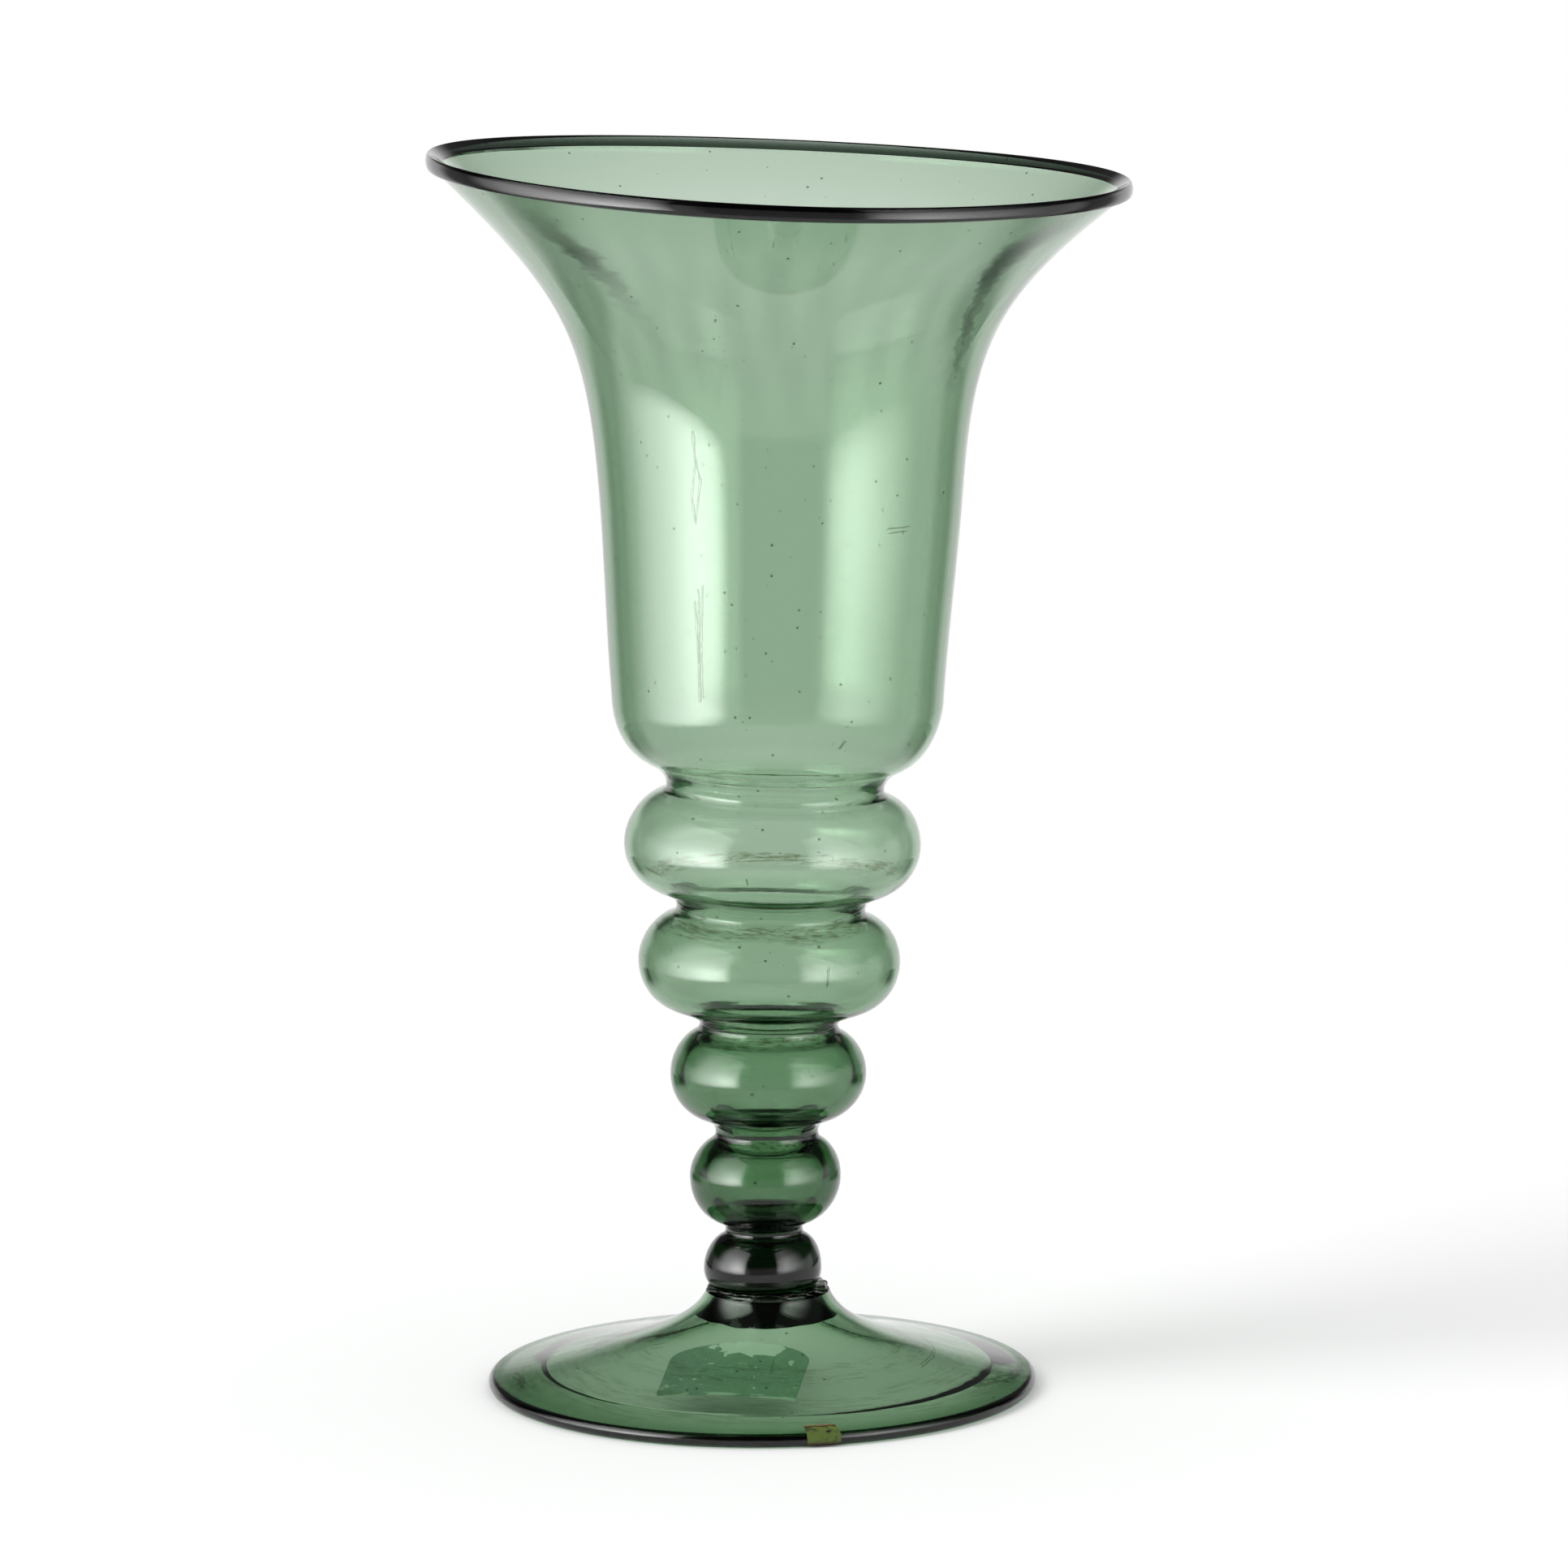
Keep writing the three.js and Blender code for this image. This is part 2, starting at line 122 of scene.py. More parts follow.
def groove(low, low_way, neck, high, high_way):
    """Points in the groove between two roundings, upright at its neck."""
    def bend(end, way):
        corner = end + way * ((neck.x - end.x) / way.x)
        return (corner - end) * CURVE_PULL, (corner - neck) * CURVE_PULL

    low_pull, into_neck = bend(low, low_way)
    high_pull, out_of_neck = bend(high, high_way)
    lower = sweep(low, low_pull, into_neck, neck, GROOVE_STEPS)
    upper = sweep(neck, out_of_neck, high_pull, high, GROOVE_STEPS)
    return lower[1:] + upper[1:-1]


def ease(value, low, high):
    """0 up to low, 1 from high, and smooth between."""
    t = max(0.0, min(1.0, (value - low) / (high - low)))
    return t * t * (3 - 2 * t)


lip_middle = Vector((LIP_RADIUS - LIP_BULGE, LIP_MIDDLE))
lip_over = 90 + math.degrees(math.atan(math.tan(math.radians(LIP_SLOPE)) * LIP_BULGE * 2 / LIP_HEIGHT))
lip_face = rounding(lip_middle, LIP_BULGE, LIP_HEIGHT / 2, -90, lip_over, EDGE_STEPS)
lip_start = lip_face[-1] - heading(LIP_SLOPE) * LIP_LAP


def flare_wall(share):
    """Glass of the flare at a share of its way up: it thins, then thickens into the lip's roll."""
    if share < FLARE_THINNEST:
        return BOWL["wall"] + (FLARE_WALL - BOWL["wall"]) * ease(share, 0, FLARE_THINNEST)
    return FLARE_WALL + (LIP_WALL - FLARE_WALL) * ease(share, FLARE_THINNEST, 1)


def bubble_outline(hollow):
    """Half outline of the bubble from the lowest knop up to the lip, outside or on its hollow's wall."""
    points = []
    pieces = KNOPS[1:] + [BOWL] if hollow else KNOPS + [BOWL]
    below = None
    base = SEAT_HEIGHT + KNOPS[0]["height"] if hollow else SEAT_HEIGHT
    for piece in pieces:
        shrink = piece["wall"] if hollow else 0
        radius = piece["radius"] - shrink
        roll = max(piece["roll"] - shrink, LEAST_ROLL)
        middle = Vector((radius - roll, base + piece["belly"]))

        def run_out(neck):
            """Angle at which the rounding gives way to a groove with this neck."""
            angle = math.acos(max(-1, min(1, (neck + GROOVE_EASE - middle.x) / roll)))
            return min(math.degrees(angle), ARC_END)

        if piece is pieces[0]:
            flat = 0 if hollow else SEAT_RADIUS
            drop = piece["belly"] - HOLLOW_FLOOR if hollow else piece["underside"]
            points += [] if hollow else [Vector((0, SEAT_HEIGHT))]
            points += rounding(Vector((flat, middle.y)), radius - flat, drop, -90, 0, CAP_STEPS)
        else:
            drop = piece["underside"] - (piece.get("floor", piece["wall"]) if hollow else 0)
            start = -run_out(below["neck"].x)
            arc = rounding(middle, roll, drop, start, 0, ARC_STEPS)
            points += groove(below["end"], below["way"], below["neck"], arc[0], along(roll, drop, start))
            points += arc
        if piece is BOWL:
            break
        base += piece["height"]
        neck = Vector((piece["neck"] - (piece["throat"] if hollow else 0), base))
        rise = piece["shoulder"] - shrink
        stop = run_out(neck.x)
        arc = rounding(middle, roll, rise, 0, stop, ARC_STEPS)
        points += arc[1:]
        below = dict(end=arc[-1], way=along(roll, rise, stop), neck=neck)
    shrink = Vector((BOWL["wall"] if hollow else 0, 0))
    flare = Vector((FLARE_RADIUS, FLARE_BASE))
    corner = points[-1] + shrink
    side = (flare - corner).normalized()
    end = lip_start - heading(LIP_SLOPE) * LIP_SEAM + heading(LIP_SLOPE - 90) * LIP_WALL
    points += [corner.lerp(flare, i / SIDE_STEPS) - shrink for i in range(1, SIDE_STEPS)]
    run = sweep(flare, side * FLARE_REACH, -heading(LIP_SLOPE) * LIP_REACH, end, FLARE_STEPS)
    for i, p in enumerate(run):
        way = (run[min(i + 1, FLARE_STEPS)] - run[max(i - 1, 0)]).normalized()
        points.append(p + Vector((-way.y, way.x)) * (flare_wall(i / FLARE_STEPS) if hollow else 0))
    return points


def turned(name, outline, steps=TURNS):
    """A solid turned from a half outline, drawn out point by point and spun round the vase's axis."""
    bpy.ops.object.select_all(action="DESELECT")
    start = outline[0]
    bpy.ops.mesh.primitive_plane_add(size=0.001, location=(start.x, 0, start.y))
    piece = bpy.context.object
    bpy.ops.object.transform_apply()
    piece.name = name
    bpy.ops.object.mode_set(mode="EDIT")
    bpy.ops.mesh.merge(type="CENTER")
    for here, there in zip(outline, outline[1:]):
        step = (there.x - here.x, 0, there.y - here.y)
        bpy.ops.mesh.extrude_region_move(TRANSFORM_OT_translate={"value": step})
    bpy.ops.mesh.select_all(action="SELECT")
    bpy.ops.mesh.spin(steps=steps, angle=math.tau, center=(0, 0, 0), axis=(0, 0, 1))
    bpy.ops.mesh.select_all(action="SELECT")
    bpy.ops.mesh.remove_doubles(threshold=WELD)
    bpy.ops.mesh.normals_make_consistent(inside=False)
    bpy.ops.object.mode_set(mode="OBJECT")
    bpy.ops.object.shade_smooth_by_angle(angle=math.radians(SHARP))
    return piece


# Where the middle of each knop, neck, bowl and flare lies: its height, its place along x and its tilt.
stations = []
station_base = SEAT_HEIGHT
for knop, above in zip(KNOPS, KNOPS[1:] + [BOWL]):
    stations.append((station_base + knop["belly"], knop["offset"], knop["tilt"]))
    station_base += knop["height"]
    stations.append((station_base, (knop["offset"] + above["offset"]) / 2, knop["neck_tilt"]))
stations.append((BOWL_BASE + BOWL["belly"], BOWL["offset"], BOWL["tilt"]))
stations.append((FLARE_BASE, FLARE_OFFSET, FLARE_TILT))
stations.append((LIP_MIDDLE, 0, FLARE_TILT))


def settle_bubble(p):
    """Where a point of the bubble comes to, as the vase leans and its lip tilts and waves."""
    i = next((i for i, station in enumerate(stations) if station[0] > p.z), len(stations) - 1)
    low, high = stations[max(i - 1, 0)], stations[i]
    share = ease(p.z, low[0], high[0]) if high[0] > low[0] else 0
    flare = max(0.0, min(1.0, (p.z - FLARE_BASE) / (LIP_MIDDLE - FLARE_BASE))) ** 2
    tilt = low[2] + (high[2] - low[2]) * share + (LIP_TILT - FLARE_TILT) * flare
    around = math.hypot(p.x, p.y) or 1
    saddle = (p.x**2 - p.y**2) / around**2
    height = p.z + LIP_WARP * flare * saddle - p.x * math.tan(math.radians(tilt))
    return Vector((p.x + low[1] + (high[1] - low[1]) * share, p.y, height))


def settle(piece, move):
    """Moves each point of a piece."""
    for vertex in piece.data.vertices:
        vertex.co = move(vertex.co)
    piece.data.update()


class Wire:
    """A value that varies over a surface. Expressions on wires add the Math nodes that work them out."""

    def __init__(self, finish, socket):
        self.finish = finish
        self.socket = socket

    def math(self, operation, first, second=None, clamp=False):
        return self.finish.math(operation, first, second, clamp)

    def __add__(self, other):
        return self.math("ADD", self, other)

    __radd__ = __add__

    def __sub__(self, other):
        return self.math("SUBTRACT", self, other)

    def __rsub__(self, other):
        return self.math("SUBTRACT", other, self)

    def __mul__(self, other):
        return self.math("MULTIPLY", self, other)

    __rmul__ = __mul__

    def __truediv__(self, other):
        return self.math("DIVIDE", self, other)

    def __rtruediv__(self, other):
        return self.math("DIVIDE", other, self)

    def clamped(self):
        return self.math("ADD", self, 0.0, clamp=True)

    def size(self):
        return self.math("ABSOLUTE", self)

    def above(self, low, high):
        """0 under low, 1 over high, and eased between."""
        limits = {"Value": self, "From Min": low, "From Max": high}
        return self.finish.node("ShaderNodeMapRange", dict(interpolation_type="SMOOTHSTEP"), limits)


class Finish:
    """A material and its nodes."""

    def __init__(self, name):
        self.material = bpy.data.materials.new(name)
        self.material.use_nodes = True
        self.tree = self.material.node_tree
        self.tree.nodes.clear()

    def node(self, kind, settings=None, sockets=None, out=0):
        """Adds a node: its settings first, then the values or links of its sockets. Gives its output, if
        it has one."""
        node = self.tree.nodes.new(kind)
        for key, value in (settings or {}).items():
            setattr(node, key, value)
        for key, value in (sockets or {}).items():
            if isinstance(value, Wire):
                self.tree.links.new(value.socket, node.inputs[key])
            else:
                node.inputs[key].default_value = value
        return Wire(self, node.outputs[out]) if node.outputs else None

    def math(self, operation, first, second=None, clamp=False):
        values = {0: first} if second is None else {0: first, 1: second}
        return self.node("ShaderNodeMath", dict(operation=operation, use_clamp=clamp), values)

    def place(self):
        return self.node("ShaderNodeTexCoord", out="Object")

    def scaled(self, place, scale):
        return self.node("ShaderNodeMapping", {}, {"Vector": place, "Scale": scale})

    def axes(self, place):
        split = self.node("ShaderNodeSeparateXYZ", {}, {"Vector": place})
        return [Wire(self, socket) for socket in split.socket.node.outputs]

    def turn(self, x, y):
        """Angle of a place round the middle, from the back."""
        return self.math("ARCTAN2", x, y)

    def reach(self, x, y):
        return self.math("SQRT", x * x + y * y)

    def grain(self, place, scale, detail=3.0, roughness=0.5):
        sockets = {"Vector": place, "Scale": scale, "Detail": detail, "Roughness": roughness}
        return self.node("ShaderNodeTexNoise", {}, sockets, "Fac")

    def blend(self, share, first, second):
        sockets = {0: share, 6: first, 7: second}
        return self.node("ShaderNodeMix", dict(data_type="RGBA"), sockets, 2)

    def bump(self, height, strength, distance):
        sockets = {"Height": height, "Strength": strength, "Distance": distance}
        return self.node("ShaderNodeBump", {}, sockets, "Normal")

    def bounced(self, kind):
        """1 where the light has already bounced in a kind of way, else 0."""
        return self.node("ShaderNodeLightPath", out=kind + " Depth").above(0.4, 0.6)

    def surface(self, shader, **volume):
        self.node("ShaderNodeOutputMaterial", {}, {"Surface": shader, **volume})
        return self.material


GLASS_DENSITY = 400.0
GLASS_TINT = (0.2375, 0.50, 0.25, 1.0)
GLASS_IOR = 1.5
GLASS_SHINE = 0.5
BUBBLE_WAVE = 0.00007
CLEAR = (1.0, 1.0, 1.0, 1.0)
SPECK = (0.10, 0.09, 0.06, 1.0)
DUST = (0.34, 0.30, 0.20, 1.0)
DUST_DRIFT = 0.0035
BACK, FRONT = "back", "front"
# Tint of scratches and nicks, and of the bowl's forked creases, whose dark lines are painted shade.
MARK_AND_CREASE_SHADE = (0.22, 0.28, 0.18, 1.0)
# Painted shade: a dark tint laid on the flare's streaks and ribs, where dark surroundings show in the
# glass.
PAINTED_SHADE = (0.040, 0.070, 0.048, 1.0)
PAINTED_SHADE_SHARE = 0.75
RIB_SHADE_SHARE = 0.07
# Seeds of two kinds: how many cells there are to a metre, and the share of them that holds a seed.
SEEDS = ((140.0, 0.9), (330.0, 0.3))
# A place's angle round the middle counts this much, in metres, where a pattern follows the tools.
TURN_SPREAD = 0.006


class Glass(Finish):
    """Blown green glass, with the marks of its making and of its long use."""

    def __init__(self, name):
        super().__init__(name)
        self.spot = self.place()
        self.x, self.y, self.z = self.axes(self.spot)
        self.round_by = self.turn(self.x, self.y)
        sockets = {"X": self.reach(self.x, self.y), "Y": self.round_by * TURN_SPREAD, "Z": self.z}
        self.turned_place = self.node("ShaderNodeCombineXYZ", {}, sockets)
        self.colour = CLEAR
        self.mark(sum(self.specks(*seeds) for seeds in SEEDS).clamped(), SPECK)

    def mark(self, share, tint):
        """Lays a tint over the glass, as strong as its share."""
        self.colour = self.blend(share, self.colour, tint)

    def through(self, value, points):
        """A wire that runs straight from point to point. Each point is a value and its result."""
        total = points[0][1]
        for (low, first), (high, second) in zip(points, points[1:]):
            limits = {"From Min": low, "From Max": high, "To Min": 0.0, "To Max": second - first}
            total = self.node("ShaderNodeMapRange", {}, {"Value": value, **limits}) + total
        return total

    def back(self, blur=0.001):
        """1 on the back half, 0 on the front."""
        return self.y.above(-blur, blur)

    def shade_streak(self, points, soft, frayed):
        """A soft band of painted shade down the front. Each point is a height, its x, half width and
        strength.
        """
        heights = [point[0] for point in points]
        middle, half, strength = (self.through(self.z, list(zip(heights, row)))
                                  for row in list(zip(*points))[1:])
        aside = ((self.x - middle + frayed) / half).size()
        return (1 - aside.above(1 - soft, 1 + soft)) * strength * (1 - self.back())

    def specks(self, scale, share):
        """Small dark seeds, one in some of the cells that a scale gives."""
        sockets = {"Vector": self.spot, "Scale": scale}
        near = self.node("ShaderNodeTexVoronoi", {}, sockets, "Distance")
        lot = self.axes(self.node("ShaderNodeTexVoronoi", {}, sockets, "Color"))[0]
        return (1 - near.above(0.03, 0.07)) * lot.above(1 - share, 1.01 - share)

    def stroke(self, across, up, start, end, width):
        """A thin mark between two places, each given by its values of the two wires."""
        way = Vector(end) - Vector(start)
        length = way.length
        way.normalize()
        right, rise = across - start[0], up - start[1]
        along = right * way.x + rise * way.y
        wander = (self.grain(self.spot, scale=400.0, detail=2.0) - 0.5) * (width * 3)
        aside = (right * way.y - rise * way.x + wander).size()
        line = (1 - aside.above(width * 0.3, width)) * along.above(0, width)
        return line * (1 - along.above(length - width, length))

    def strokes(self, across, up, marks):
        return sum(self.stroke(across, up, *mark) for mark in marks).clamped()

    def dust(self, levels):
        """Ragged brown bands of dirt, each at a height, with a half width, at the back or the front."""
        ragged = self.grain(self.turned_place, scale=900.0, detail=5.0, roughness=0.7).above(0.44, 0.62)
        drift = (self.grain(self.spot, scale=60.0) - 0.5) * DUST_DRIFT
        bands = 0.0
        for height, width, side in levels:
            half = self.back(0.002) if side == BACK else 1 - self.back(0.002)
            bands = (1 - ((self.z - height + drift).size() / width).above(0.3, 1.0)) * half + bands
        return bands.clamped() * ragged

    def blown(self, wave, tint=GLASS_TINT, density=GLASS_DENSITY, shine=GLASS_SHINE):
        """The finished glass: drawn-out waves and rings of tool marks in its face, under a thin film."""
        waves = self.grain(self.scaled(self.spot, (1.0, 1.0, 0.12)), scale=55.0, detail=2.0)
        tooled = self.grain(self.turned_place, scale=240.0, detail=4.0, roughness=0.6)
        film = self.grain(self.spot, scale=60.0, detail=4.0).above(0.45, 0.85)
        bump = self.bump(waves + tooled * 0.22, 1.0, wave)
        sockets = {"Base Color": self.colour, "Roughness": film * 0.03, "Normal": bump}
        sockets.update({"IOR": GLASS_IOR, "Specular IOR Level": shine, "Transmission Weight": 1.0})
        shader = self.node("ShaderNodeBsdfPrincipled", {}, sockets)
        volume = self.node("ShaderNodeVolumeAbsorption", {}, {"Color": tint, "Density": density})
        return self.surface(shader, Volume=volume)


# Creases, scratches and nicks in the bowl and knops, on the front: each from a place to a place, given by
# x and height, and its width.
# The first ten marks, the bowl's forked creases, are painted shade: dark lines where the creases break
# the reflection.
BUBBLE_MARKS_AND_CREASE_SHADE = [
    ((-0.0208, 0.2425), (-0.0203, 0.2345), 0.00035), ((-0.0203, 0.2350), (-0.0212, 0.2255), 0.00022),
    ((-0.0212, 0.2262), (-0.0203, 0.2195), 0.00026), ((-0.0203, 0.2350), (-0.0190, 0.2300), 0.00026),
    ((-0.0190, 0.2305), (-0.0204, 0.2195), 0.00020), ((-0.0198, 0.2040), (-0.0196, 0.1760), 0.00026),
    ((-0.0207, 0.2010), (-0.0200, 0.1900), 0.00022), ((-0.0200, 0.1905), (-0.0196, 0.1760), 0.00022),
    ((-0.0188, 0.2050), (-0.0192, 0.1900), 0.00020), ((-0.0192, 0.1905), (-0.0190, 0.1770), 0.00022),
    ((0.0250, 0.2177), (0.0302, 0.2176), 0.00018), ((0.0254, 0.2166), (0.0296, 0.2166), 0.00018),
    ((0.0132, 0.1645), (0.0148, 0.1668), 0.00022), ((0.0105, 0.1095), (0.0102, 0.1050), 0.00025),
    ((-0.0330, 0.1330), (-0.0295, 0.1318), 0.00022), ((-0.0090, 0.1330), (-0.0086, 0.1312), 0.00022),
]
# Painted shade: dark streaks in the flare, where dark surroundings show in the glass. Each point is a
# height, its x, the half width and the strength.
RIGHT_SHADE_STREAK = [
    (0.2480, 0.0410, 0.0008, 0.0), (0.2555, 0.0418, 0.0009, 0.5), (0.2673, 0.0445, 0.0011, 0.75),
    (0.2736, 0.0471, 0.0014, 0.65), (0.2786, 0.0491, 0.0021, 1.0), (0.2814, 0.0517, 0.0029, 1.0),
    (0.2864, 0.0568, 0.0041, 1.0), (0.2903, 0.0646, 0.0046, 0.6), (0.2940, 0.0700, 0.0046, 0.2),
]
LEFT_SHADE_STREAK = [
    (0.2603, -0.0254, 0.0020, 0.0), (0.2691, -0.0329, 0.0022, 0.1), (0.2779, -0.0390, 0.0025, 0.35),
    (0.2822, -0.0433, 0.0028, 0.7), (0.2861, -0.0470, 0.0030, 0.95), (0.2902, -0.0523, 0.0034, 0.6),
    (0.2957, -0.0575, 0.0036, 0.3), (0.2980, -0.0590, 0.0036, 0.0),
]
# Bands of dirt on the knops: height, half width, and the side that holds the dirt.
BUBBLE_DUST = [
    (0.1262, 0.0014, BACK), (0.1170, 0.0016, FRONT), (0.0888, 0.0018, FRONT), (0.0620, 0.0014, FRONT),
]


def bubble_glass():
    """Glass with dirt on the knops, forked creases in the bowl drawn as dark lines of painted shade, and
    dark bands and ribbing of painted shade in the flare.
    """
    glass = Glass("bubble_glass")
    brushed = glass.grain(glass.turned_place, scale=420.0, detail=4.0, roughness=0.6)
    frayed = (brushed - 0.5) * 0.009
    shade_streaks = glass.shade_streak(RIGHT_SHADE_STREAK, soft=0.35, frayed=frayed * 0.5)
    shade_streaks = shade_streaks + glass.shade_streak(LEFT_SHADE_STREAK, soft=0.5, frayed=frayed)
    wave = glass.math("SINE", glass.round_by * 30.0 - glass.z * 90.0 + brushed * 2.0)
    zone = glass.z.above(0.235, 0.262) * (1 - glass.z.above(0.272, 0.292))
    rib_shade = wave.above(-1.0, 1.0) * zone
    # Painted shade: the flare's streaks and ribs darken its colour.
    glass.mark((shade_streaks * PAINTED_SHADE_SHARE + rib_shade * RIB_SHADE_SHARE).clamped(), PAINTED_SHADE)
    glass.mark(glass.dust(BUBBLE_DUST), DUST)
    # The bowl's forked creases among these marks are painted shade: dark lines where the creases break
    # the reflection.
    glass.mark(glass.strokes(glass.x, glass.z + glass.back(), BUBBLE_MARKS_AND_CREASE_SHADE), MARK_AND_CREASE_SHADE)
    return glass.blown(BUBBLE_WAVE)


bubble = turned("blown_bubble", bubble_outline(False) + bubble_outline(True)[::-1])
settle(bubble, settle_bubble)
bubble.data.materials.append(bubble_glass())
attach(bubble, "root")
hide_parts("bowl_and_knops")

# Rolled lip: the flare's own edge, folded outwards and melted in. Its glass is made far denser and darker
# than the rest as painted shade, so that the roll shows nearly black, as dark surroundings make it look.
LIP_SHADE_TINT = (0.22, 0.32, 0.24, 1.0)
LIP_SHADE_DENSITY = 1300.0
LIP_SHINE = 0.1
LIP_WAVE = 0.00002

lip_outline = [lip_start, lip_start + heading(LIP_SLOPE - 90) * LIP_WALL] + lip_face
lip = turned("lip_roll", lip_outline + lip_outline[:1])
settle(lip, settle_bubble)
# The lip's dense dark glass is painted shade.
lip.data.materials.append(Glass("lip_glass_shaded").blown(LIP_WAVE, LIP_SHADE_TINT, LIP_SHADE_DENSITY, LIP_SHINE))
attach(lip, "root")
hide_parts("rolled_lip")

# Domed foot: a second, smaller bubble of the same green glass, opened and spun out into a low dome. Its
# neck takes the gather that joins it to the stem.
FOOT_RADIUS = 0.0675
FOOT_BEAD = 0.00175
FOOT_WALL = 0.0020
FOOT_NECK_RADIUS = 0.0152
FOOT_NECK_HEIGHT = 0.0240
DOME_EDGE_INSET = 0.0029
DOME_EDGE_HEIGHT = 0.00345
NECK_SLOPE = 67
NECK_REACH = 0.010
EDGE_SLOPE = 12.3
EDGE_REACH = 0.031
FOOT_OFFSET = -0.0061
FOOT_NECK_OFFSET = -0.0046
FOOT_WAVE = 0.0001
DOME_STEPS = 60
DOME_FINE_STEPS = 80
# Height, half width and side of the dirt on the dome's shoulders, and how much of it there is.
FOOT_DUST = [(0.0052, 0.0012, FRONT), (0.0098, 0.0008, FRONT)]
FOOT_DUST_SHARE = 0.5
# Scratches, worn arcs and nicks: each from a place to a place, given by x and y, and its width.
FOOT_MARKS = [
    ((0.0332, 0.0145), (0.0363, 0.0005), 0.00025), ((0.0363, 0.0010), (0.0357, -0.0078), 0.00022),
    ((0.0357, -0.0073), (0.0326, -0.0179), 0.00022), ((0.0449, -0.0236), (0.0541, -0.0105), 0.00110),
    ((0.0541, -0.0110), (0.0580, 0.0030), 0.00090), ((-0.0566, 0.0330), (-0.0450, 0.0466), 0.00100),
    ((-0.0530, 0.0160), (-0.0463, 0.0196), 0.00060), ((-0.0640, -0.0170), (-0.0667, -0.0040), 0.00070),
    ((-0.0030, -0.0290), (-0.0040, -0.0335), 0.00012), ((-0.0330, -0.0120), (-0.0300, -0.0132), 0.00020),
]


def dome_points(depth, steps):
    """Points of the dome's outside from its edge up to its neck, sunk square to it by a depth."""
    edge = Vector((FOOT_RADIUS - DOME_EDGE_INSET, DOME_EDGE_HEIGHT))
    neck = Vector((FOOT_NECK_RADIUS, FOOT_NECK_HEIGHT))
    edge_pull = heading(180 - EDGE_SLOPE) * EDGE_REACH
    neck_pull = heading(-NECK_SLOPE) * NECK_REACH
    run = sweep(edge, edge_pull, neck_pull, neck, steps)
    points = []
    for i, p in enumerate(run):
        way = (run[min(i + 1, steps)] - run[max(i - 1, 0)]).normalized()
        points.append(p + Vector((-way.y, way.x)) * depth)
    return points


dome_inner = dome_points(FOOT_WALL, DOME_FINE_STEPS)


def dome_inside(radius):
    """Height of the dome's inside at a radius."""
    i = next(i for i, p in enumerate(dome_inner) if p.x <= radius)
    far, near = dome_inner[i - 1], dome_inner[i]
    return far.y + (near.y - far.y) * (far.x - radius) / (far.x - near.x)


def dome_inside_radius(height):
    """Radius of the dome's inside at a height, carried on past its end."""
    i = next((i for i, p in enumerate(dome_inner) if p.y >= height), -1)
    low, high = dome_inner[i - 1], dome_inner[i]
    return low.x + (high.x - low.x) * (height - low.y) / (high.y - low.y)


def settle_foot(p):
    """Where a point of the foot comes to: the foot stands level, and its neck leans over."""
    share = ease(p.z, DOME_EDGE_HEIGHT, FOOT_NECK_HEIGHT)
    return Vector((p.x + FOOT_OFFSET + (FOOT_NECK_OFFSET - FOOT_OFFSET) * share, p.y, p.z))


# Folded hem: the foot's own edge, turned under while hot and fused to the dome. It leaves a bead at the
# outside, and a step on the underside where the folded layer ends.
HEM_WIDTH = 0.0130
HEM_SHIFT = 0.0016
HEM_EDGE = 0.0006
HEM_REST = 0.0026
HEM_SLOPE = 19.0
HEM_WAVE = 0.0003
HEM_WAVES = 6
HEM_END = 260
HEM_STEPS = 6
BEAD_END = 78

bead = Vector((FOOT_RADIUS - FOOT_BEAD, FOOT_BEAD))
hem_inner = FOOT_RADIUS - HEM_WIDTH
inside = [p for p in dome_points(FOOT_WALL, DOME_STEPS) if p.y < FOOT_NECK_HEIGHT and p.x < hem_inner]
mouth = Vector((dome_inside_radius(FOOT_NECK_HEIGHT), FOOT_NECK_HEIGHT))
hem_rise = (bead.x - HEM_REST - hem_inner) * math.tan(math.radians(HEM_SLOPE))
fold_middle = Vector((hem_inner + HEM_EDGE, hem_rise + HEM_EDGE))
fold = rounding(fold_middle, HEM_EDGE, HEM_EDGE, 180, HEM_END, HEM_STEPS)
fold.append(Vector((bead.x - HEM_REST, 0)))
edge = rounding(bead, FOOT_BEAD, FOOT_BEAD, -90, BEAD_END, EDGE_STEPS)
outside = [p for p in dome_points(0, DOME_STEPS) if p.x < edge[-1].x]
crease = Vector((hem_inner, dome_inside(hem_inner)))
foot_outline = [mouth] + inside[::-1] + [crease] + fold + edge + outside + [mouth]
foot = turned("domed_foot_with_hem", foot_outline)


def settle_hem(p):
    """The fold's inner edge isn't quite round the foot's middle, and waves a little."""
    far = math.hypot(p.x, p.y)
    if p.z < crease.y + 0.00001 and abs(far - hem_inner) < HEM_EDGE:
        spoke = Vector((p.x, p.y, 0)) / far
        p = p + Vector((HEM_SHIFT, 0, 0)) + spoke * (HEM_WAVE * noise.noise(spoke * HEM_WAVES))
    return settle_foot(p)


settle(foot, settle_hem)
foot_glass = Glass("foot_glass")
foot_glass.mark(foot_glass.dust(FOOT_DUST) * FOOT_DUST_SHARE, DUST)
foot_glass.mark(foot_glass.strokes(foot_glass.x, foot_glass.y, FOOT_MARKS), MARK_AND_CREASE_SHADE)
foot.data.materials.append(foot_glass.blown(FOOT_WAVE))
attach(foot, "root")
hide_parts("domed_foot", "folded_foot_hem")

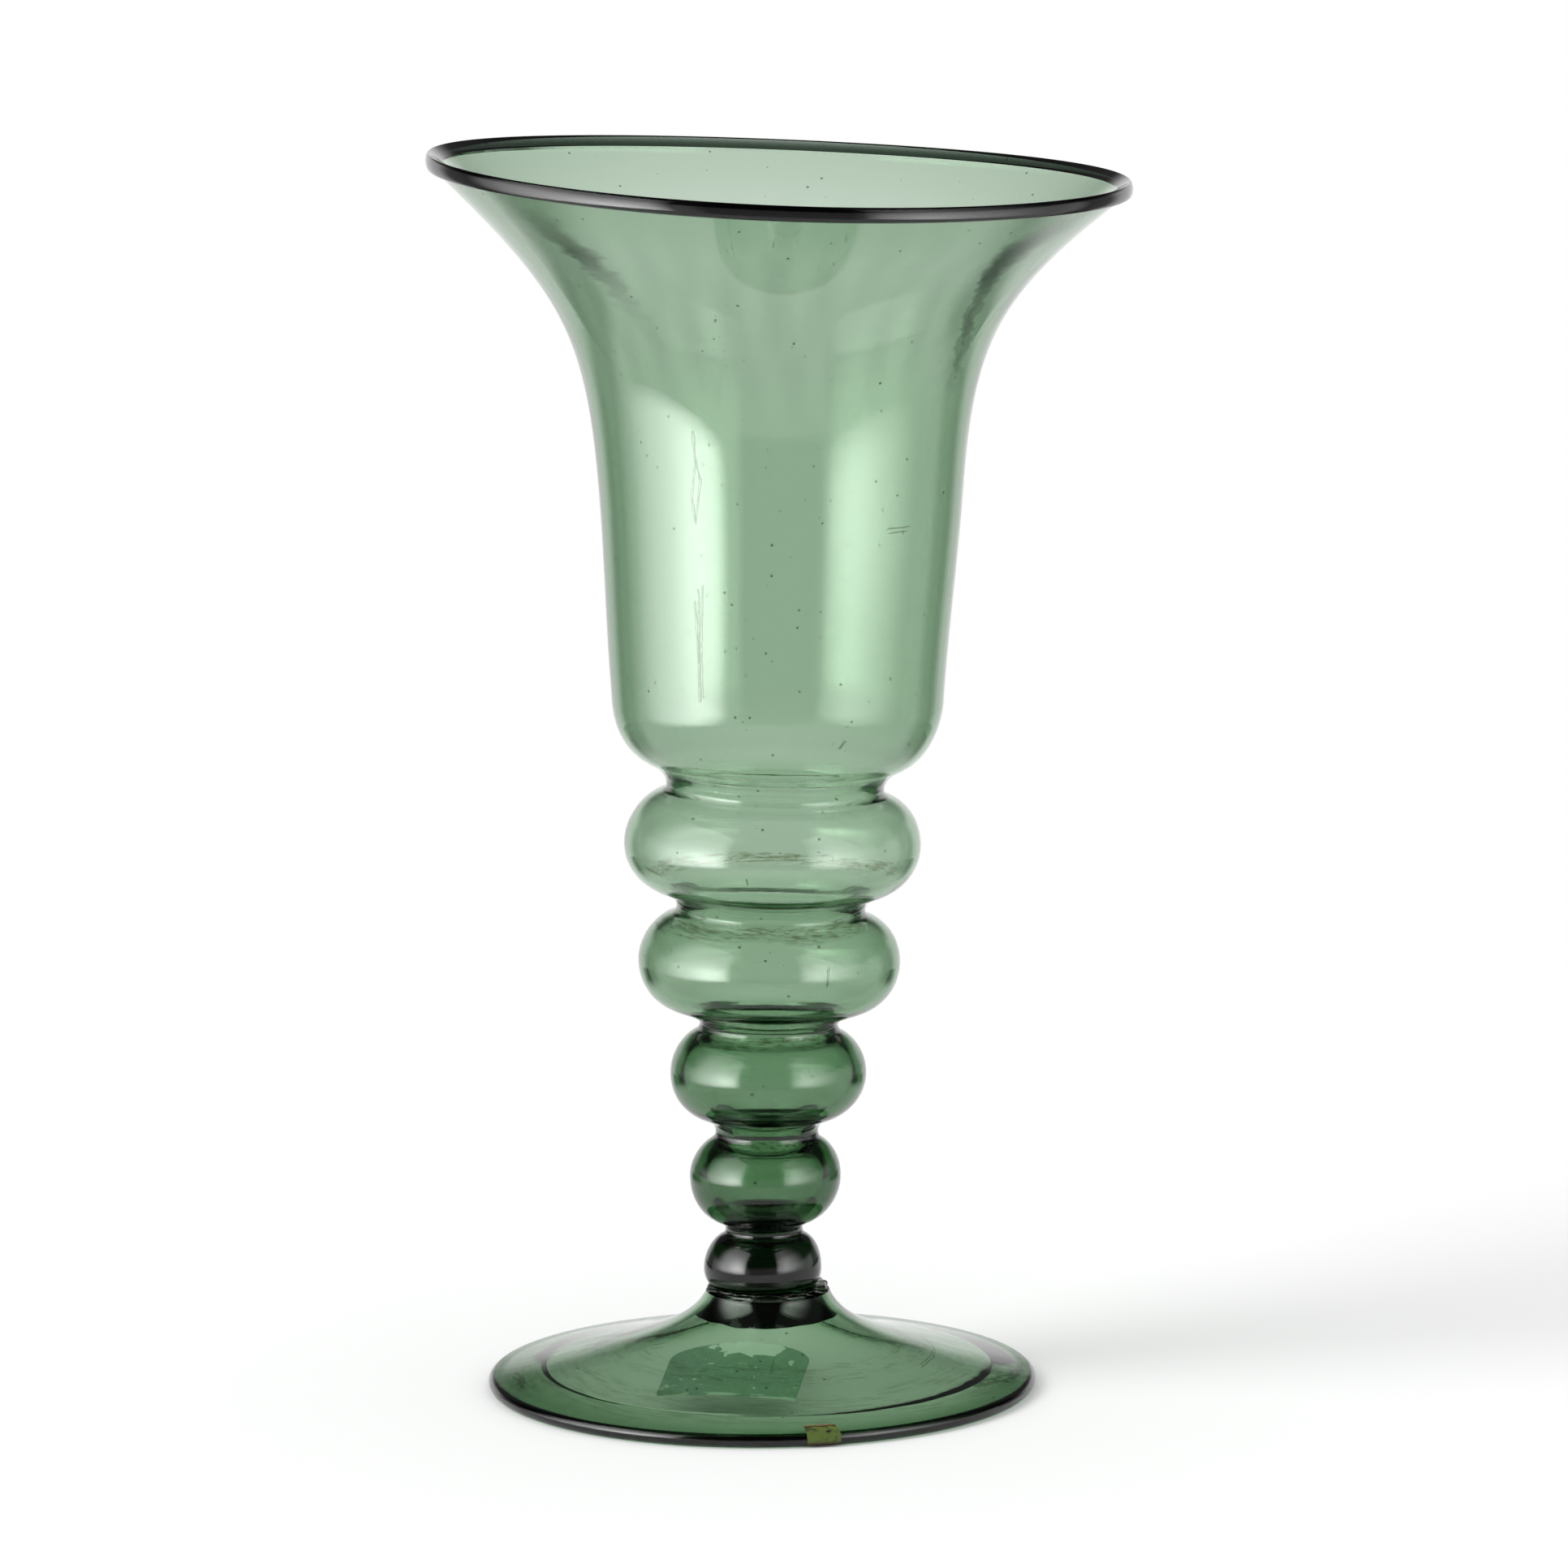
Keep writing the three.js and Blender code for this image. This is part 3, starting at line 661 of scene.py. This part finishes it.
# Joining wad: the gather of glass that holds the stem in the foot's neck. Its collar was pressed out
# between the two, and crinkled as it set.
COLLAR_RADIUS = 0.0150
COLLAR_GAP = 0.00005
WAD_DEPTH = 0.0064
WAD_BULGE = 0.0012
WAD_SEAM = 0.0003
WAD_WAVE = 0.00006
WAD_TURNS = 320
COLLAR_FOLDS = 8.5
COLLAR_DRAW = Vector((0, 0, 3.1))
FOLD_LEVEL = 0.35
FOLD_IN = 0.0013
FOLD_UP = 0.0014
PLUG_WAVES = 3.5
PLUG_WAVE = 0.0005
PLUG_RIM = 0.0002

under = FOOT_NECK_HEIGHT + WAD_SEAM
over = SEAT_HEIGHT - COLLAR_GAP
bottom = FOOT_NECK_HEIGHT - WAD_DEPTH
plug_heights = [bottom + WAD_DEPTH * i / CAP_STEPS for i in range(CAP_STEPS + 1)]
plug = [Vector((dome_inside_radius(height) - WAD_SEAM, height)) for height in plug_heights]
sag = rounding(Vector((0, bottom)), plug[0].x, WAD_BULGE, -90, 0, CAP_STEPS)
collar_edge = (over - under) / 2
collar_middle = Vector((COLLAR_RADIUS - collar_edge, under + collar_edge))
collar = rounding(collar_middle, collar_edge, collar_edge, -90, 90, CAP_STEPS)
neck_in = Vector((plug[-1].x, under))
wad = turned("joining_wad_glass", sag[:-1] + plug + [neck_in] + collar + [Vector((0, over))], WAD_TURNS)


def settle_wad(p):
    """The collar's rim is pinched up in small folds, and the plug ends in a wavy line."""
    far = math.hypot(p.x, p.y)
    spoke = Vector((p.x, p.y, 0)) / (far or 1)
    if p.z > FOOT_NECK_HEIGHT and far > neck_in.x:
        fold = max(0.0, FOLD_LEVEL + noise.noise(spoke * COLLAR_FOLDS + COLLAR_DRAW))
        rim = (far - neck_in.x) / (COLLAR_RADIUS - neck_in.x)
        low = (over - p.z) / (over - under)
        p = p - spoke * (FOLD_IN * fold * rim) + Vector((0, 0, FOLD_UP * fold * rim * low))
    elif p.z < bottom + PLUG_RIM:
        p = p + Vector((0, 0, PLUG_WAVE * noise.noise(spoke * PLUG_WAVES) * far / plug[0].x))
    return settle_foot(p)


settle(wad, settle_wad)
wad.data.materials.append(Glass("wad_glass").blown(WAD_WAVE))
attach(wad, "root")
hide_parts("joining_wad")

# Label under the dome: thick grey-green paper, stuck up under the glass. Its grey-green is darkened as
# painted shade under the dome, and more so towards the left. Its upper edge is torn, and the sheet is
# rubbed and flecked. It is bare.
LABEL_NEAR_LEFT = Vector((-0.0256, -0.0388))
LABEL_NEAR_RIGHT = Vector((0.0080, -0.0455))
LABEL_FAR_LEFT = Vector((-0.0218, -0.0175))
LABEL_FAR_RIGHT = Vector((0.0115, -0.0232))
LABEL_CORNER = 0.16
LABEL_NARROWING = 0.28
LABEL_PASTE = 0.0002
PAPER = 0.0002
FIBRE_HEIGHT = 0.0001
# Painted shade: the paper's colours are darkened for the shade under the dome, more on the left.
LABEL_SHADED_LEFT = (0.30, 0.40, 0.34, 1)
LABEL_SHADED_RIGHT = (0.30, 0.44, 0.35, 1)
LABEL_FIBRE = (0.36, 0.50, 0.41, 1)
LABEL_RUBBED = (0.75, 0.86, 0.78, 1)
LABEL_TORN = (0.97, 1.0, 0.97, 1)


def sheet(name, columns, rows, place):
    """A sheet of paper. place gives where each spot of its face lies, from its shares across and up."""
    bpy.ops.object.select_all(action="DESELECT")
    bpy.ops.mesh.primitive_grid_add(x_subdivisions=columns, y_subdivisions=rows, size=1)
    piece = bpy.context.object
    piece.name = name
    settle(piece, lambda p: place(p.x + 0.5, p.y + 0.5))
    thickness = piece.modifiers.new("thickness", "SOLIDIFY")
    thickness.thickness = PAPER
    thickness.offset = 1
    bpy.ops.object.modifier_apply(modifier="thickness")
    bpy.ops.object.shade_smooth_by_angle(angle=math.radians(SHARP))
    return piece


def label_place(across, up):
    """Rounded far corners, and edges that run out along the dome's inside."""
    reach = max(0.0, up - (1 - LABEL_CORNER)) / LABEL_CORNER
    across = 0.5 + (across - 0.5) * (1 - LABEL_NARROWING * (1 - math.sqrt(max(0.0, 1 - reach * reach))))
    near = LABEL_NEAR_LEFT.lerp(LABEL_NEAR_RIGHT, across)
    p = near.lerp(LABEL_FAR_LEFT.lerp(LABEL_FAR_RIGHT, across), up)
    return settle_foot(Vector((p.x, p.y, dome_inside(p.length) - LABEL_PASTE - PAPER)))


class Paper(Finish):
    """Matt paper, with its shares across and up, and the fibre in its face."""

    def __init__(self, name, scale, roughness):
        super().__init__(name)
        self.across, self.up = self.axes(self.node("ShaderNodeTexCoord", out="UV"))[:2]
        self.spot = self.place()
        self.fibre = self.grain(self.spot, scale, detail=4.0, roughness=roughness)

    def matt(self, colour, relief, low, rise):
        """relief: how far the fibre stands out. low, rise: roughness, and what the fibre adds to it."""
        sockets = {"Base Color": colour, "Roughness": low + self.fibre * rise}
        sockets["Normal"] = self.bump(self.fibre, relief, FIBRE_HEIGHT)
        return self.surface(self.node("ShaderNodeBsdfPrincipled", {}, sockets))


def label_paper():
    """Grey-green paper darkened as painted shade, more so towards the left, with threads along its near
    edge and white where it is torn away or rubbed.
    """
    paper = Paper("label_paper", 900.0, 0.6)
    across, up = paper.across, paper.up
    # Painted shade: the paper is darker towards the left.
    fade = paper.blend(across.above(0.0, 0.5), LABEL_SHADED_LEFT, LABEL_SHADED_RIGHT)
    mottled = paper.blend(paper.fibre.above(0.35, 0.75), fade, LABEL_FIBRE)
    ragged = paper.grain(paper.spot, scale=260.0) - 0.5
    middle = (across - 0.54) * 2.9
    depth = (1 - middle * middle) * 0.20 + ragged * 0.30
    torn = paper.blend((up - 1 + depth).above(-0.006, 0.006), mottled, LABEL_TORN)
    flecks = paper.grain(paper.spot, scale=420.0).above(0.68, 0.70)
    threads = paper.grain(paper.scaled(paper.spot, (0.3, 1, 1)), scale=500.0, detail=2.0)
    edge = (1 - up.above(0.03, 0.07)) * threads.above(0.42, 0.50)
    scuffs = paper.grain(paper.scaled(paper.spot, (0.25, 1, 1)), scale=700.0, detail=2.0)
    worn = (flecks + edge + scuffs.above(0.70, 0.73)).clamped()
    return paper.matt(paper.blend(worn, torn, LABEL_RUBBED), relief=0.4, low=0.8, rise=0.1)


label = sheet("label_sheet", columns=60, rows=40, place=label_place)
label.data.materials.append(label_paper())
label.visible_shadow = False
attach(label, "root")
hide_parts("label_under_foot")

# Sticker: a scrap of olive paper wrapped over the hem and round the bead. Its ends are torn and browned,
# and it has a hole. It is bare.
STICKER_WIDTH = 0.0083
STICKER_TURN = 12.8
STICKER_TOP = 0.0055
STICKER_FOOT = 0.0009
STICKER_PASTE = 0.00012
STICKER_TEAR = 0.05
STICKER_TEETH = 5
STICKER_NEAR = (0.080, 0.122, 0.020, 1)
STICKER_FAR = (0.120, 0.158, 0.020, 1)
STICKER_BLOTCH = (0.045, 0.065, 0.016, 1)
STICKER_BROWN = (0.035, 0.020, 0.008, 1)
STICKER_RIM = (0.19, 0.115, 0.035, 1)
STICKER_LOW = (0.05, 0.030, 0.010, 1)
STICKER_HOLE = (0.006, 0.006, 0.004, 1)

stuck = FOOT_BEAD + STICKER_PASTE
dome_rise = (STICKER_TOP - DOME_EDGE_INSET) * math.tan(math.radians(EDGE_SLOPE))
wrap_start = math.degrees(math.asin((STICKER_FOOT - FOOT_BEAD) / FOOT_BEAD))
wrap_end = Vector((FOOT_RADIUS - STICKER_TOP, DOME_EDGE_HEIGHT + dome_rise + STICKER_PASTE))
wrap = rounding(bead, stuck, stuck, wrap_start, BEAD_END, EDGE_STEPS) + [wrap_end]


def walk(path, share):
    """Place at a share of a path's length."""
    lengths = [(there - here).length for here, there in zip(path, path[1:])]
    left = share * sum(lengths)
    for here, there, length in zip(path, path[1:], lengths):
        if left <= length:
            return here.lerp(there, left / length)
        left -= length
    return path[-1]


def sticker_place(across, up):
    """Wrapped round the bead and up on the dome, with a torn upper end."""
    tear = STICKER_TEAR * (0.5 + noise.noise(Vector((across * STICKER_TEETH, 0.3, 0))))
    p = walk(wrap, up * (1 - tear))
    round_by = math.radians(STICKER_TURN) + (across - 0.5) * STICKER_WIDTH / FOOT_RADIUS
    return settle_foot(Vector((p.x * math.sin(round_by), -p.x * math.cos(round_by), p.y)))


def sticker_paper():
    """Olive paper, blotched, browned towards both ends, with a dark hole."""
    paper = Paper("sticker_paper", 1100.0, 0.65)
    across, up = paper.across, paper.up
    blotch = paper.grain(paper.spot, scale=650.0, detail=2.0)
    ragged = up + (blotch - 0.5) * 0.12
    olive = paper.blend(up.above(0.35, 0.65), STICKER_NEAR, STICKER_FAR)
    mottled = paper.blend(blotch.above(0.48, 0.62), olive, STICKER_BLOTCH)
    browned = paper.blend(ragged.above(0.80, 0.86), mottled, STICKER_BROWN)
    rim = paper.blend(ragged.above(0.90, 0.93), browned, STICKER_RIM)
    low = paper.blend(1 - ragged.above(0.04, 0.09), rim, STICKER_LOW)
    aside, high = (across - 0.66) * 1.2, (up - 0.42) * 1.6
    hole = 1 - (aside * aside + high * high + (blotch - 0.5) * 0.02).above(0.006, 0.010)
    return paper.matt(paper.blend(hole, low, STICKER_HOLE), relief=0.5, low=0.7, rise=0.2)


sticker = sheet("sticker_scrap", columns=24, rows=40, place=sticker_place)
sticker.data.materials.append(sticker_paper())
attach(sticker, "root")
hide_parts("sticker_on_foot_edge")

# Table: a round white top, just wide enough for the vase's shadow. In reflections it is dark towards the
# back on each side, as if a dark flag lay there.
TABLE_RADIUS = 0.55
TABLE_GAP = 0.00005
TABLE_SIDES = 96
TABLE_WHITE = (0.9, 0.9, 0.9, 1)
FLAG_DARK = (0.03, 0.03, 0.03, 1)
FLAG_SHARE = 0.9
# Where the flag's edges fade, the first two by angle from the back and the last by metres from the vase.
FLAG_BACK_EDGE = (0.50, 0.75)
FLAG_SIDE_EDGE = (1.05, 1.30)
FLAG_NEAR_EDGE = (0.20, 0.34)

bpy.ops.object.select_all(action="DESELECT")
bpy.ops.mesh.primitive_circle_add(vertices=TABLE_SIDES, radius=TABLE_RADIUS, fill_type="NGON",
                                  location=(0, 0, -TABLE_GAP))
table = bpy.context.object
table.name = "table_top"
top = Finish("table_white")
right, back = top.axes(top.place())[:2]
aside = top.turn(right, back).size()
flag = aside.above(*FLAG_BACK_EDGE) * (1 - aside.above(*FLAG_SIDE_EDGE))
flag = flag * top.reach(right, back).above(*FLAG_NEAR_EDGE) * top.bounced("Glossy")
shade = top.blend(flag * FLAG_SHARE, TABLE_WHITE, FLAG_DARK)
table.data.materials.append(top.surface(top.node("ShaderNodeBsdfDiffuse", {}, {"Color": shade})))

# Studio: a white surround up to the vase's height, dark overhead and in a slot on each side of the
# backdrop. A tall light panel stands on each side in front, and a soft sun high on the left throws the
# shadow.
FILL = 0.89
SUN = 1.3
SUN_IN_GLASS = 0.45
SUN_SPREAD = 30
SUN_WAY = Vector((0.80, 0.35, -0.68))
WHITE = (1, 1, 1, 1)
# How much darker the slots, the gap behind the camera and the ceiling are, and where their edges fade:
# by angle from the back, and the ceiling by the rise of the line of sight.
SLOT_SHARE = 0.75
SLOT_BACK_EDGE = (0.56, 0.80)
SLOT_SIDE_EDGE = (1.00, 1.20)
GAP_SHARE = 0.6
GAP_EDGE = (2.60, 2.75)
CEILING_SHARE = 0.92
CEILING_EDGE = (0.10, 0.30)
PANEL_HEIGHT = 0.75
LEFT_PANEL = ((-0.338, -0.520), (-0.560, 0.200))
RIGHT_PANEL = ((0.272, -0.557), (0.590, 0.100))
LEFT_GLARE = 9.6
RIGHT_GLARE = 4.1

world = bpy.data.worlds.new("studio")
bpy.context.scene.world = world
world.use_nodes = True


class Studio(Finish):
    """Nodes of the world or of a lamp."""

    def __init__(self, owner):
        self.tree = owner.node_tree
        self.tree.nodes.clear()

    def path(self, output):
        return self.node("ShaderNodeLightPath", out=output)

    def direct(self):
        """1 where the light hasn't yet bounced off a matt face, else 0."""
        return 1 - self.bounced("Diffuse")


surround = Studio(world)
direction = surround.node("ShaderNodeTexCoord", out="Generated")
east, north, height = surround.axes(direction)
aside = surround.turn(east, north).size()
mirrored = surround.bounced("Glossy")
slot = aside.above(*SLOT_BACK_EDGE) * (1 - aside.above(*SLOT_SIDE_EDGE)) * mirrored
gap = aside.above(*GAP_EDGE) * mirrored
ceiling = height.above(*CEILING_EDGE)
pattern = (1 - slot * SLOT_SHARE) * (1 - gap * GAP_SHARE) * (1 - ceiling * CEILING_SHARE)
through_glass = surround.path("Is Transmission Ray")
pictured = (surround.path("Is Glossy Ray") + through_glass).clamped() * surround.direct()
fill = FILL + FILL * SUN_IN_GLASS * through_glass
level = fill + (pattern - fill) * pictured
level = level + (1 - level) * surround.path("Is Camera Ray")
light = surround.node("ShaderNodeBackground", {}, {"Color": WHITE, "Strength": level})
surround.node("ShaderNodeOutputWorld", {}, {"Surface": light})


def panel(name, edges, brightness):
    """A light panel that stands on the table, seen only in reflections. edges: where it stands, near the
    camera and far from it. brightness is worked out from its place along its width, from 0 at the near
    edge, and its height in metres."""
    near, far = Vector(edges[0]), Vector(edges[1])
    data = bpy.data.lights.new(name, "AREA")
    data.shape = "RECTANGLE"
    data.size = (far - near).length
    data.size_y = PANEL_HEIGHT
    data.energy = math.pi * data.size * PANEL_HEIGHT
    data.use_nodes = True
    nodes = Studio(data)
    x, y, z = nodes.axes(nodes.node("ShaderNodeNewGeometry", out="Position"))
    way = (far - near) / (far - near).length_squared
    share = (x - near.x) * way.x + (y - near.y) * way.y
    strength = brightness(share, z) * (nodes.bounced("Glossy") * nodes.direct())
    glow = nodes.node("ShaderNodeEmission", {}, {"Color": WHITE, "Strength": strength})
    nodes.node("ShaderNodeOutputLight", {}, {"Surface": glow})
    lamp = bpy.data.objects.new(name, data)
    bpy.context.scene.collection.objects.link(lamp)
    middle = (near + far) / 2
    lamp.location = (middle.x, middle.y, PANEL_HEIGHT / 2)
    facing = Vector((way.y, -way.x, 0))
    facing = facing if facing.dot(Vector((middle.x, middle.y, 0))) < 0 else -facing
    lamp.rotation_euler = facing.to_track_quat("-Z", "Y").to_euler()
    lamp.visible_camera = False
    lamp.visible_diffuse = False


def left_glow(share, z):
    """A round glare low on the panel, fading out to its edges."""
    across = (share - 0.29) * 4.0
    up = (z - 0.12) * 6.0
    glare = 1.0 + LEFT_GLARE / (1 + across * across + up * up)
    sides = share.above(-0.04, 0.14) * (1 - share.above(0.62, 1.02))
    return glare * sides * z.above(-0.02, 0.05)


def right_glow(share, z):
    """An upright glare that fades out towards the panel's top and edges."""
    across = (share - 0.30) * 5.0
    glare = 1.0 + RIGHT_GLARE / (1 + across * across)
    sides = share.above(-0.04, 0.12) * (1 - share.above(0.50, 0.95))
    return glare * sides * (1 - z.above(0.15, 0.5) * 0.7) * z.above(-0.03, 0.09)


panel("left_panel", LEFT_PANEL, left_glow)
panel("right_panel", RIGHT_PANEL, right_glow)

sun = bpy.data.lights.new("soft_sun", "SUN")
sun.energy = SUN
sun.angle = math.radians(SUN_SPREAD)
sun_lamp = bpy.data.objects.new("soft_sun", sun)
bpy.context.scene.collection.objects.link(sun_lamp)
sun_lamp.rotation_euler = SUN_WAY.to_track_quat("-Z", "Y").to_euler()
sun_lamp.visible_camera = False
sun_lamp.visible_glossy = False
sun_lamp.visible_transmission = False

# Camera: on a long lens, 2.1 m in front of the vase and half a metre above the table. It looks down a
# little, and is rolled by a third of a degree.
CAMERA = Vector((0.0002, -2.098, 0.499))
CAMERA_PITCH = 9.44
CAMERA_ROLL = 0.36
LENS = 200.0
SENSOR = 36.0

camera_data = bpy.data.cameras.new("camera")
camera_data.lens = LENS
camera_data.sensor_width = SENSOR
camera = bpy.data.objects.new("camera", camera_data)
bpy.context.scene.collection.objects.link(camera)
pitched = Matrix.Rotation(math.radians(90 - CAMERA_PITCH), 4, "X")
rolled = Matrix.Rotation(math.radians(-CAMERA_ROLL), 4, "Z")
camera.matrix_world = Matrix.Translation(CAMERA) @ pitched @ rolled
bpy.context.scene.camera = camera

scene = bpy.context.scene
scene.view_settings.view_transform = "Standard"
scene.cycles.max_bounces = 32
scene.cycles.transmission_bounces = 32
scene.cycles.glossy_bounces = 16
scene.cycles.blur_glossy = 0.0
